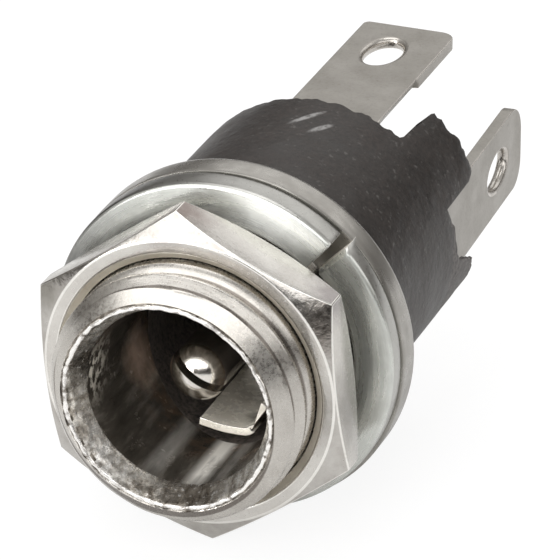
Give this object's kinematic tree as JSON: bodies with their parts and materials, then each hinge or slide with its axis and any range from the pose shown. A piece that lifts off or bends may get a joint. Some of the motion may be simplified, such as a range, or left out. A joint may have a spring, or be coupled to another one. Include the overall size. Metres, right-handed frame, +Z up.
{
  "type": "dc power socket",
  "caption": "Panel-mounted dc power socket: threaded metal bush with hexagon nut and split lock washer, moulded housing, split centre pin, spring sleeve contact and eyed solder lugs.",
  "frame": {"origin": "on the socket's axis, at the front face of the bush's flange, where the panel is clamped", "axes": "-Y along the axis towards the mouth, +Y towards the solder lugs, +Z up through the pin's lug, +X through the sleeve contact's lug"},
  "size_m": [0.0154, 0.0311, 0.0154],
  "materials": {
    "nickel_bush": "nickel plated, machined",
    "nickel_nut": "nickel plated, satin",
    "zinc_washer": "zinc plated, bright",
    "black_moulding": "moulded, satin",
    "pin_metal": "nickel plated, bright",
    "lug_metal": "tin plated, dull"
  },
  "bodies": {
    "root": {"threaded_bush": "nickel_bush", "hex_nut": "nickel_nut", "lock_washer": "zinc_washer", "housing": "black_moulding", "centre_pin": "pin_metal", "pin_lug": "lug_metal", "sleeve_contact": "lug_metal"}
  },
  "joints": []
}
